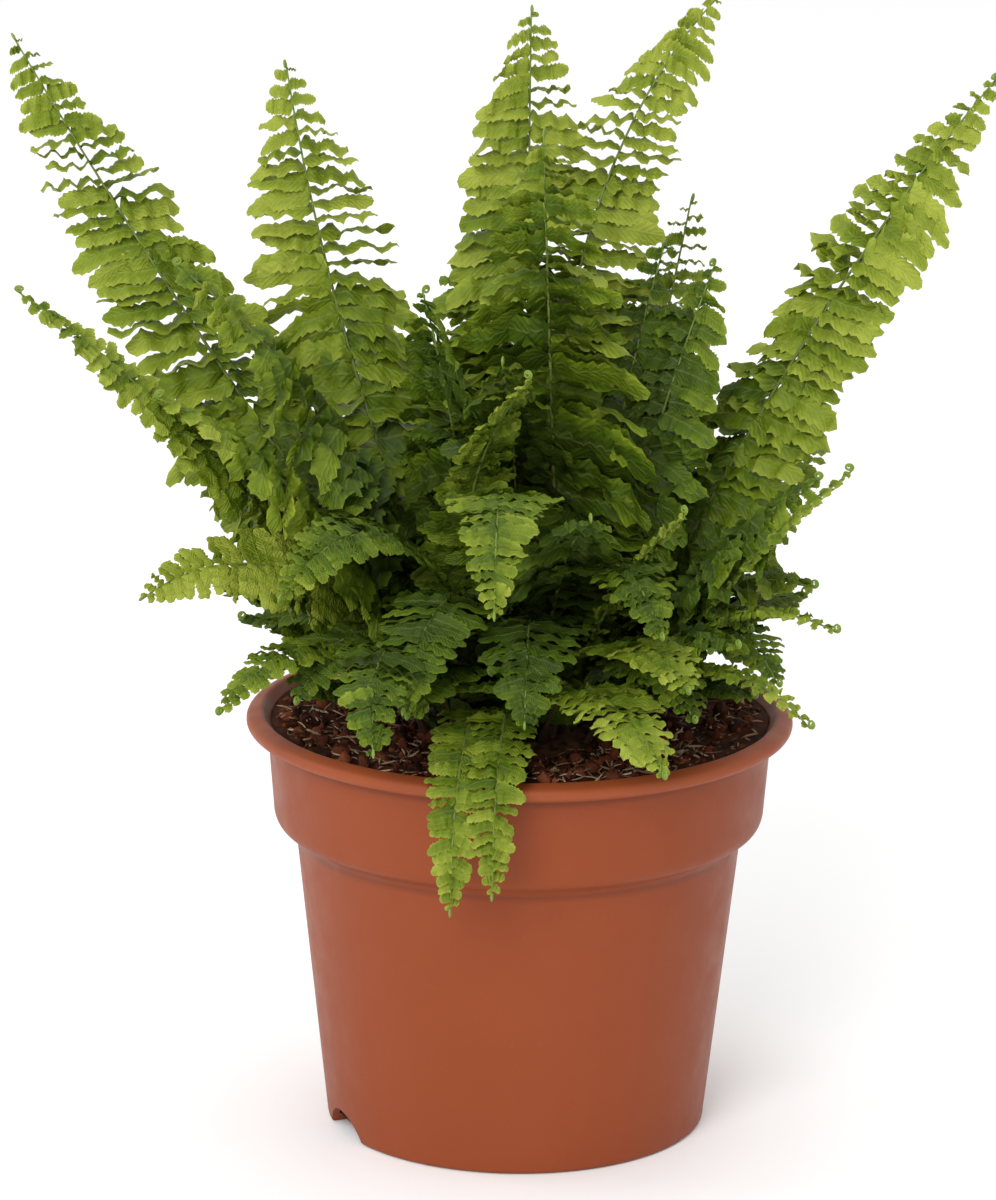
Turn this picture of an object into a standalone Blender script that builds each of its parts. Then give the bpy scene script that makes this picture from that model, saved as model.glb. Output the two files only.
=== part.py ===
"""A potted fern: a turned nursery pot, its soil, the fern's crown and one solid for each frond.

Metres, +Z up. The origin is on the pot's axis, on the flat underside that the pot stands on.
-Y is the front. A heading is an angle seen from above, counter-clockwise from +X.
"""

import math
from collections import namedtuple

import bpy
import numpy as np
from mathutils import Vector
from mathutils.bvhtree import BVHTree

MM = 0.001
GAP = 0.3 * MM

# The pot. Radii and heights are those of its outer side.
POT_HEIGHT = 93.2 * MM
LIP_RADIUS = 60.0 * MM
LIP_DROP = 4.6 * MM
LIP_ROUNDING = 1.4 * MM
BAND_TOP_RADIUS = 55.3 * MM
BAND_BOTTOM_RADIUS = 53.9 * MM
BAND_BOTTOM = 70.8 * MM
SHOULDER_RADIUS = 49.0 * MM
SHOULDER_BOTTOM = 65.0 * MM
BASE_RADIUS = 41.9 * MM
BASE_ROUNDING = 0.8 * MM
WALL = 1.6 * MM
FLOOR = 2.0 * MM
POT_STEPS = 48

# The arched drain openings in the corner between the pot's wall and its floor.
DRAIN_WIDTH = 16.8 * MM
DRAIN_HEIGHT = 5.5 * MM
DRAIN_DEPTH = 7.0 * MM
DRAIN_HEADINGS = (205, 25)

# The soil: nearly level, with a flat seat for the crown.
SOIL_EDGE = 91.2 * MM
SOIL_EDGE_RADIUS = 54.7 * MM
SOIL_SEAT = 88.5 * MM
SOIL_SEAT_RADIUS = 25.0 * MM
SOIL_LUMP = 0.7 * MM
SOIL_STEPS = 40

# The crown: the short, knobbly stock that every frond grows from.
CROWN_RADIUS = 24.0 * MM
CROWN_HEIGHT = 5.2 * MM
CROWN_KNOB = 0.5 * MM
CROWN_STEPS = 24

# The fronds: a stalk strip with a row of leaflet blocks along each side.
STALK_WIDTH = 1.9 * MM
FROND_THICKNESS = 1.0 * MM
LEAFLET_PITCH = 11.0 * MM
LEAFLET_SHARE = 0.72
LEAFLET_RAKE = 12
CLEARANCE = 1.7 * MM
SHORTEST_LEAFLET = 2.5 * MM

# One row a frond: where it leaves the crown (mm), then its course. It starts at the angle lean from
# upright, bends by droop on its way to the tip, mostly late if bend is over 1, and turns sideways by
# sweep. length is along the stalk and reach is the longest leaflet's (mm). roll turns the blade about
# the stalk, and bare is the share of the stalk that has no leaflets.
Frond = namedtuple("Frond", "name x y heading lean droop bend sweep length reach roll bare")
FRONDS = (
    Frond("tall_left", -15, 4, 166, 37, -5, 1.6, 0, 174, 18.5, 65, 0.12),
    Frond("tall_right", 18, 2, -7, 25, 13, 1.6, -11, 167, 18, -60, 0.14),
    Frond("centre_front", 9, -4, 253, 8, 0, 1.6, 0, 132, 23, 0, 0.1),
    Frond("centre_back", 2, 12, 98, 7, -10, 1.6, 0, 151, 22, 0, 0.1),
    Frond("upright_left", -11, 9, 150, 26, -14, 1.6, -10, 145, 21, 60, 0.12),
    Frond("upright_right", 9, 8, 45, -8, 66, 1.6, 0, 167, 17, -45, 0.12),
    Frond("low_left", -20, -3, 197, 36, 18, 1.6, 17, 141, 10.5, 50, 0.12),
    Frond("hanging_left", -7, -19, 262, 34, 154, 0.9, 0, 75, 7.5, 0, 0.08),
    Frond("hanging_right", -1, -21, 265, 30, 154, 0.9, 0, 72, 7, 0, 0.08),
    Frond("arching_front", -1, -13, 262, 5, 143, 1.5, 8, 123, 12.5, 0, 0.12),
    Frond("mid_left", -14, -2, 190, 18, 35, 1.6, 0, 120, 20, 20, 0.12),
    Frond("mid_right", 14, -3, -10, 12, 8, 1.6, 15, 104, 18, -40, 0.12),
    Frond("bright_left", -21, -9, 216, 24, 98, 1.6, -8, 90, 10.5, 50, 0.15),
    Frond("drooping_left", -17, -15, 221, 30, 110, 1.4, 0, 74, 10, 0, 0.15),
    Frond("rim_left", -13, -19, 228, 20, 130, 1.25, 48, 82, 12, 0, 0.1),
    Frond("rim_front", 5, -20, 282, 40, 92, 1.2, 20, 74, 12, 0, 0.1),
    Frond("rim_right", 15, -17, 313, 38, 92, 1.4, 8, 72, 9, 0, 0.15),
    Frond("rim_mid_right", 10, -16, 298, 26, 100, 1.4, 0, 66, 13, 0, 0.1),
    Frond("low_right", 21, -12, 315, 29, 79, 1.6, 9, 75, 9, 0, 0.15),
    Frond("side_right", 23, -4, 359, 15, 90, 1.5, -20, 60, 13, 0, 0.15),
    Frond("young_right", 19, -7, 318, 40, 8, 1.6, 14, 90, 8, -30, 0.15),
    Frond("young_front", -10, -11, 236, 12, 30, 1.6, 90, 92, 10, 0, 0.15),
    Frond("small_right", 12, 15, 52, 24, 0, 1.6, 10, 114, 13, -40, 0.15),
    Frond("broad_left", -17, -7, 205, 26, 38, 1.6, 0, 104, 22, 15, 0.14),
    Frond("inner_left", -8, -4, 225, 6, 14, 1.6, 0, 98, 20, 10, 0.12),
    Frond("inner_right", 13, 4, 12, 6, 10, 1.6, 0, 104, 19, -60, 0.12),
    Frond("shade_left", -21, -6, 212, 34, 52, 1.6, 0, 64, 17, 0, 0.14),
    Frond("shade_front", 4, -12, 282, 22, 50, 1.6, 0, 78, 16, 0, 0.12),
    Frond("shade_right", 17, -10, 342, 28, 30, 1.6, 0, 78, 17, -20, 0.14),
    Frond("low_front", 12, -8, 308, 42, 55, 1.6, 0, 64, 16, 0, 0.14),
    Frond("low_mid_left", -9, -14, 246, 44, 60, 1.6, 0, 44, 13, 0, 0.12),
    Frond("low_mid_front", 0, -16, 272, 44, 55, 1.6, 0, 44, 13, 0, 0.12),
    Frond("back_right", 21, 7, 46, 38, 40, 1.6, 0, 84, 17, 0, 0.14),
    Frond("back_right_low", 17, 12, 58, 48, 45, 1.6, 0, 90, 16, 0, 0.15),
    Frond("back_mid_right", 8, 17, 76, 36, 44, 1.6, 0, 118, 18, 0, 0.14),
    Frond("back_mid_left", -2, 19, 96, 46, 46, 1.6, 0, 118, 18, 0, 0.14),
    Frond("back_left", -9, 16, 112, 34, 42, 1.6, 0, 116, 18, 0, 0.14),
    Frond("back_left_low", -16, 13, 128, 46, 48, 1.6, 0, 92, 16, 0, 0.15),
    Frond("back_side_left", -21, 7, 148, 38, 46, 1.6, 0, 70, 16, 0, 0.14),
    Frond("back_inner", -5, 7, 100, 6, 24, 1.6, 0, 104, 19, 0, 0.12),
    Frond("apron_left", -14, -11, 222, 18, 132, 1.35, 12, 66, 12, 0, 0.1),
    Frond("apron_mid_left", -5, -8, 250, 10, 156, 1.35, 0, 82, 14, 0, 0.1),
    Frond("apron_middle", 3, -8, 268, 14, 146, 1.3, 0, 76, 14, 0, 0.1),
    Frond("apron_mid_right", 9, -11.5, 304, 20, 134, 1.35, 4, 62, 14, 0, 0.1),
    Frond("apron_right", 19.5, -1, 322, 20, 122, 1.35, -14, 66, 13, 0, 0.1),
    Frond("side_low_left", -22.5, 0, 186, 40, 50, 1.5, 0, 46, 13, 0, 0.12),
    Frond("side_low_right", 22, 2, 6, 38, 48, 1.5, 0, 50, 14, 0, 0.12),
    Frond("foot_left", -18, -12, 208, 46, 60, 1.4, 0, 36, 11, 0, 0.1),
    Frond("foot_right", 20, -9.5, 332, 46, 60, 1.4, 0, 38, 11, 0, 0.1),
    Frond("young_mid", 7, -17.5, 308, 26, 26, 1.5, 4, 72, 6, 0, 0.12),
    Frond("inner_front", 0, -4, 262, 4, 44, 1.6, 0, 92, 18, 0, 0.12),
    Frond("tuft_left", -12.5, -6.5, 240, 8, 134, 1.6, -14, 92, 12, 20, 0.12),
    Frond("tuft_right", 8.2, -7.7, 286, 10, 136, 1.6, 10, 84, 13, 0, 0.12),
    Frond("tuft_side", 15.5, -7.5, 330, 12, 118, 1.6, 0, 56, 12, 0, 0.12),
    Frond("tuft_low", -4.5, -16.5, 238, 24, 118, 1.4, 6, 50, 12, 0, 0.1),
)

LEAF_GREEN = (0.075, 0.145, 0.022, 1.0)


def material(name, colour, roughness):
    """A plain Principled material."""
    made = bpy.data.materials.new(name)
    made.use_nodes = True
    shader = made.node_tree.nodes["Principled BSDF"]
    shader.inputs["Base Color"].default_value = colour
    shader.inputs["Roughness"].default_value = roughness
    shader.inputs["Metallic"].default_value = 0.0
    return made


def collection(name, hidden=False):
    made = bpy.data.collections.new(name)
    made.hide_render = hidden
    bpy.context.scene.collection.children.link(made)
    return made


def mesh_object(name, points, edges, faces, home):
    """An object made from points, edges and faces, linked into the collection home."""
    mesh = bpy.data.meshes.new(name)
    mesh.from_pydata(points, edges, faces)
    made = bpy.data.objects.new(name, mesh)
    home.objects.link(made)
    return made


def arc(centre, radius, start, end, count):
    """Points (r, z) on a circle's arc, from the angle start to end in degrees, both ends included."""
    angles = [math.radians(start + (end - start) * i / (count - 1)) for i in range(count)]
    return [(centre[0] + radius * math.cos(a), centre[1] + radius * math.sin(a)) for a in angles]


def turned(name, profile, steps, home):
    """A solid of revolution whose profile of (r, z) points starts and ends on the axis."""
    points = [(radius, 0, height) for radius, height in profile]
    edges = [(i, i + 1) for i in range(len(points) - 1)]
    made = mesh_object(name, points, edges, [], home)
    screw = made.modifiers.new("turn", "SCREW")
    screw.steps = steps
    screw.render_steps = steps
    screw.use_merge_vertices = True
    screw.merge_threshold = 0.01 * MM
    screw.use_smooth_shade = True
    return made


def baked(made):
    """Replaces an object's mesh by the one that its modifiers give."""
    bpy.context.view_layer.update()
    evaluated = made.evaluated_get(bpy.context.evaluated_depsgraph_get())
    mesh = bpy.data.meshes.new_from_object(evaluated)
    made.modifiers.clear()
    made.data = mesh
    return mesh


def wall_radius(height):
    """The lower wall's outer radius at a height."""
    return BASE_RADIUS + (SHOULDER_RADIUS - BASE_RADIUS) * height / SHOULDER_BOTTOM


def outer_profile():
    """The pot's outer side, from the lip's crest down to the axis."""
    lip_centre = (LIP_RADIUS - LIP_ROUNDING, POT_HEIGHT - 1.6 * LIP_ROUNDING)
    lip_foot = POT_HEIGHT - LIP_DROP
    shoulder_depth = BAND_BOTTOM - SHOULDER_BOTTOM
    shoulder = [
        (BAND_BOTTOM_RADIUS - 0.8 * MM, BAND_BOTTOM - 0.3 * shoulder_depth),
        (SHOULDER_RADIUS + 1.6 * MM, SHOULDER_BOTTOM + 0.3 * shoulder_depth),
    ]
    return [
        (BAND_TOP_RADIUS + 1.9 * MM, POT_HEIGHT),
        *arc(lip_centre, LIP_ROUNDING, 60, -60, 5),
        (BAND_TOP_RADIUS, lip_foot),
        (BAND_BOTTOM_RADIUS, BAND_BOTTOM),
        *shoulder,
        (SHOULDER_RADIUS, SHOULDER_BOTTOM),
        *arc((BASE_RADIUS - BASE_ROUNDING, BASE_ROUNDING), BASE_ROUNDING, 0, -90, 3),
        (0, 0),
    ]


def inner_profile():
    """The pot's inner side, from the floor's centre up to the mouth."""
    return [
        (0, FLOOR),
        (wall_radius(FLOOR) - WALL, FLOOR),
        (SHOULDER_RADIUS - WALL, SHOULDER_BOTTOM + 0.8 * MM),
        (BAND_BOTTOM_RADIUS - WALL, BAND_BOTTOM + 0.8 * MM),
        (BAND_TOP_RADIUS - WALL, POT_HEIGHT - LIP_DROP),
        (BAND_TOP_RADIUS + 0.6 * MM, POT_HEIGHT - 0.7 * MM),
    ]


def drain_cutter(heading, home):
    """An arch that stands across the pot's bottom corner: a cylinder that points outwards."""
    radius = (DRAIN_WIDTH**2 / 4 + DRAIN_HEIGHT**2) / (2 * DRAIN_HEIGHT)
    length = 2 * DRAIN_DEPTH
    bpy.ops.mesh.primitive_cylinder_add(vertices=48, radius=radius, depth=length)
    cutter = bpy.context.object
    cutter.name = f"drain_cutter_{heading}"
    turn = math.radians(heading)
    middle = BASE_RADIUS
    height = DRAIN_HEIGHT - radius
    cutter.location = (middle * math.cos(turn), middle * math.sin(turn), height)
    cutter.rotation_euler = (0, math.pi / 2, turn)
    for parent in list(cutter.users_collection):
        parent.objects.unlink(cutter)
    home.objects.link(cutter)
    cutter.hide_render = True
    cutter.display_type = "WIRE"
    return cutter


def make_pot(parts, cutters):
    """The pot: one turned shell with a rolled lip, a stepped band and two drain openings."""
    pot = turned("pot", inner_profile() + outer_profile(), POT_STEPS, parts)
    for heading in DRAIN_HEADINGS:
        cut = pot.modifiers.new(f"drain_{heading}", "BOOLEAN")
        cut.operation = "DIFFERENCE"
        cut.solver = "EXACT"
        cut.object = drain_cutter(heading, cutters)
    pot.data.materials.append(material("pot_plastic", (0.34, 0.078, 0.03, 1), 0.5))
    return pot


def soil_height(x, y):
    """The soil's surface: level under the crown, rising a little to the wall, with low lumps between."""
    radius = math.hypot(x, y)
    if radius <= SOIL_SEAT_RADIUS:
        return SOIL_SEAT
    share = min(1, (radius - SOIL_SEAT_RADIUS) / (SOIL_EDGE_RADIUS - SOIL_SEAT_RADIUS))
    lump = math.sin(x / (5.1 * MM) + 1) * math.cos(y / (6.3 * MM)) + math.sin((x - y) / (3.7 * MM))
    return SOIL_SEAT + (SOIL_EDGE - SOIL_SEAT) * share + SOIL_LUMP * lump * math.sin(math.pi * share)


def make_soil(parts):
    """The soil fills the pot with a small gap to it, and its flat seat carries the crown."""
    rings = 5
    ring = (SOIL_EDGE_RADIUS - SOIL_SEAT_RADIUS) / rings
    top = [SOIL_SEAT_RADIUS + ring * i for i in range(rings)]
    profile = [(0, SOIL_SEAT)]
    profile += [(radius, SOIL_SEAT) for radius in top]
    profile += [
        (SOIL_EDGE_RADIUS, SOIL_EDGE),
        (BAND_TOP_RADIUS - WALL - GAP, POT_HEIGHT - LIP_DROP),
        (BAND_BOTTOM_RADIUS - WALL - GAP, BAND_BOTTOM + 0.8 * MM),
        (SHOULDER_RADIUS - WALL - GAP, SHOULDER_BOTTOM + 1.2 * MM),
        (wall_radius(FLOOR) - WALL - GAP, FLOOR + GAP),
        (0, FLOOR + GAP),
    ]
    soil = turned("soil", profile, SOIL_STEPS, parts)
    mesh = baked(soil)
    for vertex in mesh.vertices:
        is_inner = math.hypot(vertex.co.x, vertex.co.y) < SOIL_EDGE_RADIUS - ring / 2
        if is_inner and vertex.co.z > BAND_BOTTOM + 2 * MM:
            vertex.co.z = soil_height(vertex.co.x, vertex.co.y)
    soil.data.materials.append(material("potting_soil", (0.035, 0.014, 0.007, 1), 0.95))
    return soil


def crown_height(x, y):
    """The crown's upper surface: a low dome with knobs where old stalks stood."""
    share = min(1, math.hypot(x, y) / CROWN_RADIUS)
    dome = CROWN_HEIGHT * math.sqrt(1 - share**2)
    knobs = CROWN_KNOB * math.sin(x / (1.9 * MM)) * math.cos(y / (2.2 * MM)) * (1 - share)
    return SOIL_SEAT + GAP + dome + knobs


def make_crown(parts):
    """The crown sits on the soil's level seat."""
    foot = SOIL_SEAT + GAP
    profile = [(0, foot + CROWN_HEIGHT)]
    for degrees in (75, 60, 45, 30, 15):
        angle = math.radians(degrees)
        profile.append((CROWN_RADIUS * math.cos(angle), foot + CROWN_HEIGHT * math.sin(angle)))
    profile += [(CROWN_RADIUS, foot), (0, foot)]
    crown = turned("crown", profile, CROWN_STEPS, parts)
    mesh = baked(crown)
    for vertex in mesh.vertices:
        if vertex.co.z > foot + 0.1 * MM:
            vertex.co.z = crown_height(vertex.co.x, vertex.co.y)
    crown.data.materials.append(material("crown_fibre", (0.06, 0.035, 0.018, 1), 0.9))
    return crown


def stalk_frames(frond, shares):
    """At each share of the stalk's length: its point, its direction and the blade's sideways direction."""
    fine = np.linspace(0, 1, 241)
    lean = np.radians(frond.lean + frond.droop * fine**frond.bend)
    heading = np.radians(frond.heading + frond.sweep * fine)
    outward = np.stack([np.cos(heading), np.sin(heading), np.zeros_like(fine)], 1)
    upward = np.array([0.0, 0.0, 1.0])
    along = np.sin(lean)[:, None] * outward + np.cos(lean)[:, None] * upward
    steps = (along[1:] + along[:-1]) / 2 * frond.length * MM / (len(fine) - 1)
    x, y = frond.x * MM, frond.y * MM
    base = np.array([x, y, crown_height(x, y) + FROND_THICKNESS / 2 + GAP])
    course = base + np.vstack([np.zeros(3), np.cumsum(steps, 0)])
    side = np.cross(outward, upward)
    face = np.sin(lean)[:, None] * upward - np.cos(lean)[:, None] * outward
    roll = math.radians(frond.roll)
    across = math.cos(roll) * side + math.sin(roll) * face
    at = np.round(np.asarray(shares) * (len(fine) - 1)).astype(int)
    return course[at], along[at], across[at]


def reach_at(frond, share):
    """The leaflets' length at a share of the stalk: it grows fast, then tapers to the tip."""
    blade = (share - frond.bare) / (1 - frond.bare)
    grown = min(1, 0.5 + 1.8 * blade)
    return frond.reach * MM * grown * (1 - max(0, blade) ** 3.2) ** 0.85


def is_clear(samples, others):
    """True if no sample point is nearer than the clearance to the surface in others."""
    return all(others.find_nearest(point, CLEARANCE)[0] is None for point in samples)


def free_length(root, width, direction, wanted, others):
    """How long a leaflet can grow from its root edge before it comes near another piece."""
    step = 1.5 * MM
    columns = max(2, math.ceil(width.length / step) + 1)
    length = 0.0
    while length < wanted:
        length = min(wanted, length + step)
        row = [root + width * (i / (columns - 1)) + direction * length for i in range(columns)]
        if not is_clear(row, others):
            return length - step
    return wanted


def stations(frond):
    """The shares of the stalk's length where its leaflet blocks start and end."""
    blade_length = frond.length * (1 - frond.bare) * MM
    pairs = max(4, round(blade_length / LEAFLET_PITCH))
    shares = [0, frond.bare * 0.5]
    for i in range(pairs):
        start = frond.bare + (1 - frond.bare) * i / pairs
        shares += [start, start + LEAFLET_SHARE * (1 - frond.bare) / pairs]
    shares.append(1)
    return shares


def stalk_surface(frond):
    """The stalk's mid-surface: a strip that narrows to the tip, with a cross edge at each station."""
    shares = stations(frond)
    course, _, across = stalk_frames(frond, shares)
    half = STALK_WIDTH / 2 * (1 - 0.6 * np.array(shares))[:, None]
    edges = zip(course - across * half, course + across * half)
    points = [Vector(p) for pair in edges for p in pair]
    faces = [(2 * i, 2 * i + 1, 2 * i + 3, 2 * i + 2) for i in range(len(shares) - 1)]
    return points, faces


def frond_surface(frond, others):
    """The frond's mid-surface: the stalk, with a leaflet block on each side of every second stretch
    of it. A leaflet stops short of the pieces in others."""
    points, faces = stalk_surface(frond)
    shares = stations(frond)
    _, along, across = stalk_frames(frond, shares)
    rake = math.radians(LEAFLET_RAKE)
    for i in range(2, len(shares) - 2, 2):
        wanted = reach_at(frond, (shares[i] + shares[i + 1]) / 2)
        for side in (-1, 1):
            near = 2 * i + (side > 0)
            far = near + 2
            width = points[far] - points[near]
            direction = Vector(across[i] * side * math.cos(rake) + along[i] * math.sin(rake))
            length = free_length(points[near], width, direction, wanted, others)
            if length < SHORTEST_LEAFLET:
                continue
            tip = len(points)
            points.append(points[near] + width * 0.2 + direction * length)
            points.append(points[near] + width * 0.85 + direction * length)
            corners = (near, far, tip + 1, tip)
            faces.append(corners if side < 0 else corners[::-1])
    return points, faces


def joined(surfaces):
    """A search tree of several surfaces together."""
    points = []
    faces = []
    for more_points, more_faces in surfaces:
        start = len(points)
        points += more_points
        faces += [tuple(start + i for i in face) for face in more_faces]
    return BVHTree.FromPolygons(points, faces)


def surface_of(made):
    """An object's surface as its modifiers give it: its points and its faces."""
    bpy.context.view_layer.update()
    mesh = made.evaluated_get(bpy.context.evaluated_depsgraph_get()).data
    points = [vertex.co.copy() for vertex in mesh.vertices]
    faces = [tuple(polygon.vertices) for polygon in mesh.polygons]
    return points, faces


def make_frond(frond, surface, leaf, parts):
    """A frond as one closed solid: its mid-surface with a thickness."""
    points, faces = surface
    made = mesh_object("frond_" + frond.name, points, [], faces, parts)
    made.data.materials.append(leaf)
    solid = made.modifiers.new("thickness", "SOLIDIFY")
    solid.thickness = FROND_THICKNESS
    solid.offset = 0


def main():
    for old in list(bpy.data.objects):
        bpy.data.objects.remove(old, do_unlink=True)
    parts = collection("potted_fern")
    cutters = collection("cutters", hidden=True)
    pot = make_pot(parts, cutters)
    soil = make_soil(parts)
    make_crown(parts)
    leaf = material("fern_leaf", LEAF_GREEN, 0.5)
    fixed = [surface_of(pot), surface_of(soil)]
    fronds = {frond: stalk_surface(frond) for frond in FRONDS}
    for frond in FRONDS:
        others = [surface for other, surface in fronds.items() if other is not frond]
        fronds[frond] = frond_surface(frond, joined(fixed + others))
        make_frond(frond, fronds[frond], leaf, parts)


main()
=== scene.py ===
"""The looks of a potted fern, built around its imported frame.

Metres, +Z up, with the origin on the pot's axis at the surface it stands on. -Y is the front.
Each frond is one mesh: a tapering stalk and two rows of toothed, wavy leaflets.
"""

import math
from collections import namedtuple

import bpy
import numpy as np
from mathutils import Matrix, Vector


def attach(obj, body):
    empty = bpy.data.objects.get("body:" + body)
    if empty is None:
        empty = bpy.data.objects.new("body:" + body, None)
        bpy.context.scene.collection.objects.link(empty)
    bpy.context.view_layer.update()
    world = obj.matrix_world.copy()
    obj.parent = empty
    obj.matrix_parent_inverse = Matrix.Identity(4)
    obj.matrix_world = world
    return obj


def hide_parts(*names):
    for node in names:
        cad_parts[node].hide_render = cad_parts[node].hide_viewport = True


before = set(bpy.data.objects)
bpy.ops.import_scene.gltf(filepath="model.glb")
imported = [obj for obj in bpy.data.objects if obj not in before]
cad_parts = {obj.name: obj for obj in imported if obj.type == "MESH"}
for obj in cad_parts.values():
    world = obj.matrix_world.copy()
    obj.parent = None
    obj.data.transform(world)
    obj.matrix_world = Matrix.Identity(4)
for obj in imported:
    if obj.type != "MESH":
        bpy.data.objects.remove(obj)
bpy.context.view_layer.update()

MM = 0.001
UP = np.array([0.0, 0.0, 1.0])

# ---------------------------------------------------------------- meshes


def unit(vectors):
    """Each vector divided by its length."""
    return vectors / np.maximum(np.linalg.norm(vectors, axis=-1, keepdims=True), 1e-12)


def smooth(values, low, high):
    """0 below low, 1 above high, and the cubic 3x^2 - 2x^3 between."""
    x = np.clip((values - low) / (high - low), 0, 1)
    return x * x * (3 - 2 * x)


def new_piece(name, points, faces, materials, slot, *nodes):
    """A mesh object at the origin that rides on the root body and stands for the CAD nodes given."""
    mesh = bpy.data.meshes.new(name)
    mesh.from_pydata(points.tolist(), [], faces)
    mesh.polygons.foreach_set("use_smooth", np.ones(len(faces), bool))
    piece = bpy.data.objects.new(name, mesh)
    bpy.context.scene.collection.objects.link(piece)
    for one in materials:
        mesh.materials.append(one)
    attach(piece, "root")
    if nodes:
        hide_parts(*nodes)
    return piece


def point_values(piece, name, values):
    """Writes one number a point, which a material reads by its name."""
    layer = piece.data.attributes.new(name, "FLOAT", "POINT")
    layer.data.foreach_set("value", np.asarray(values, np.float32))


def point_uv(piece, name, uv):
    """Writes a UV map from one (u, v) a point."""
    layer = piece.data.uv_layers.new(name=name)
    corners = np.empty(len(piece.data.loops), np.int32)
    piece.data.loops.foreach_get("vertex_index", corners)
    layer.data.foreach_set("uv", uv[corners].astype(np.float32).ravel())


def grid_faces(rows, columns):
    """Quads between neighbouring rings of points. On a closed shape they face outwards if its rings
    turn anticlockwise about the way from its first ring to its last, and inwards if clockwise."""
    row = np.arange(rows - 1)[:, None] * columns
    column = np.arange(columns)[None, :]
    after = (column + 1) % columns
    corners = (row + column, row + after, row + columns + after, row + columns + column)
    return np.stack(corners, -1).reshape(-1, 4).tolist()


def shell_faces(rows, steps):
    """Outward faces of a closed shell: rings that turn anticlockwise about +Z and end low on the
    outside. Its two poles, at the start and the end, are the points that follow the rings."""
    first, last, end = rows * steps, rows * steps + 1, (rows - 1) * steps
    faces = [quad[::-1] for quad in grid_faces(rows, steps)]
    faces += [(first, i, (i + 1) % steps) for i in range(steps)]
    faces += [(last, end + (i + 1) % steps, end + i) for i in range(steps)]
    return faces


def copied_faces(one, per, count):
    """The faces of count copies of a shape that has the faces in one and per points."""
    return [tuple(k * per + i for i in face) for k in range(count) for face in one]


def cells(points, size, seed):
    """Cellular noise: the distance to the nearest of a set of jittered grid points, in cell sizes,
    and a random number for that cell. points is (n, 2)."""
    scaled = points / size
    home = np.floor(scaled).astype(np.int64)
    best = np.full(len(points), 9.0)
    tone = np.zeros(len(points))
    for i in (-1, 0, 1):
        for j in (-1, 0, 1):
            cell = home + (i, j)
            # An integer hash of the cell: ten bits each for its point's place and nine for its tone.
            mixed = (cell[:, 0] * 374761393 + cell[:, 1] * 668265263 + seed * 974711) & 0x7FFFFFFF
            mixed = (mixed ^ (mixed >> 13)) * 1274126177 & 0x7FFFFFFF
            jitter = np.stack([mixed & 1023, (mixed >> 10) & 1023], 1) / 1023
            away = np.linalg.norm(cell + jitter - scaled, axis=1)
            tone = np.where(away < best, ((mixed >> 20) & 511) / 511, tone)
            best = np.minimum(best, away)
    return best, tone


# ---------------------------------------------------------------- materials


class Paint:
    """A Principled material and short calls for the nodes that feed it."""

    def __init__(self, name, roughness=0.5):
        self.material = bpy.data.materials.new(name)
        self.material.use_nodes = True
        self.tree = self.material.node_tree
        self.shader = self.tree.nodes["Principled BSDF"]
        self.output = self.tree.nodes["Material Output"]
        self.shader.inputs["Roughness"].default_value = roughness

    def node(self, kind, **settings):
        made = self.tree.nodes.new(kind)
        for key, value in settings.items():
            setattr(made, key, value)
        return made

    def feed(self, value, socket):
        """Links a socket, or sets a plain value."""
        if isinstance(value, bpy.types.NodeSocket):
            self.tree.links.new(value, socket)
        else:
            socket.default_value = value

    def attribute(self, name):
        return self.node("ShaderNodeAttribute", attribute_name=name).outputs["Fac"]

    def place(self):
        """Object coordinates, in metres."""
        return self.node("ShaderNodeTexCoord").outputs["Object"]

    def uv(self, name):
        return self.node("ShaderNodeUVMap", uv_map=name).outputs["UV"]

    def noise(self, at, scale, detail, rough=0.55):
        """Noise at a place, with a scale in features a metre."""
        made = self.node("ShaderNodeTexNoise")
        self.feed(at, made.inputs["Vector"])
        made.inputs["Scale"].default_value = scale
        made.inputs["Detail"].default_value = detail
        made.inputs["Roughness"].default_value = rough
        return made.outputs["Fac"]

    def maths(self, operation, a, b=0.0, clamp=False):
        made = self.node("ShaderNodeMath", operation=operation, use_clamp=clamp)
        self.feed(a, made.inputs[0])
        self.feed(b, made.inputs[1])
        return made.outputs[0]

    def spread(self, value, low, high, to_low=0.0, to_high=1.0):
        """Maps low..high onto to_low..to_high, and stops at both ends."""
        made = self.node("ShaderNodeMapRange")
        self.feed(value, made.inputs["Value"])
        for name, number in zip(("From Min", "From Max", "To Min", "To Max"), (low, high, to_low, to_high)):
            self.feed(number, made.inputs[name])
        return made.outputs["Result"]

    def ramp(self, value, *stops):
        """A colour from stops of (place, colour)."""
        made = self.node("ShaderNodeValToRGB")
        self.feed(value, made.inputs["Fac"])
        elements = made.color_ramp.elements
        while len(elements) < len(stops):
            elements.new(0.5)
        for element, (place, colour) in zip(elements, stops):
            element.position = place
            element.color = (*colour, 1)
        return made.outputs["Color"]

    def mix(self, share, a, b):
        made = self.node("ShaderNodeMix", data_type="RGBA")
        self.feed(share, made.inputs["Factor"])
        for value, socket in ((a, made.inputs["A"]), (b, made.inputs["B"])):
            self.feed((*value, 1) if isinstance(value, tuple) else value, socket)
        return made.outputs["Result"]

    def bump(self, height, strength, distance):
        made = self.node("ShaderNodeBump")
        made.inputs["Strength"].default_value = strength
        made.inputs["Distance"].default_value = distance
        self.feed(height, made.inputs["Height"])
        self.feed(made.outputs["Normal"], self.shader.inputs["Normal"])
        return made.outputs["Normal"]

    def colour(self, value):
        self.feed(value, self.shader.inputs["Base Color"])

    def rough(self, value):
        self.feed(value, self.shader.inputs["Roughness"])


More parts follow.
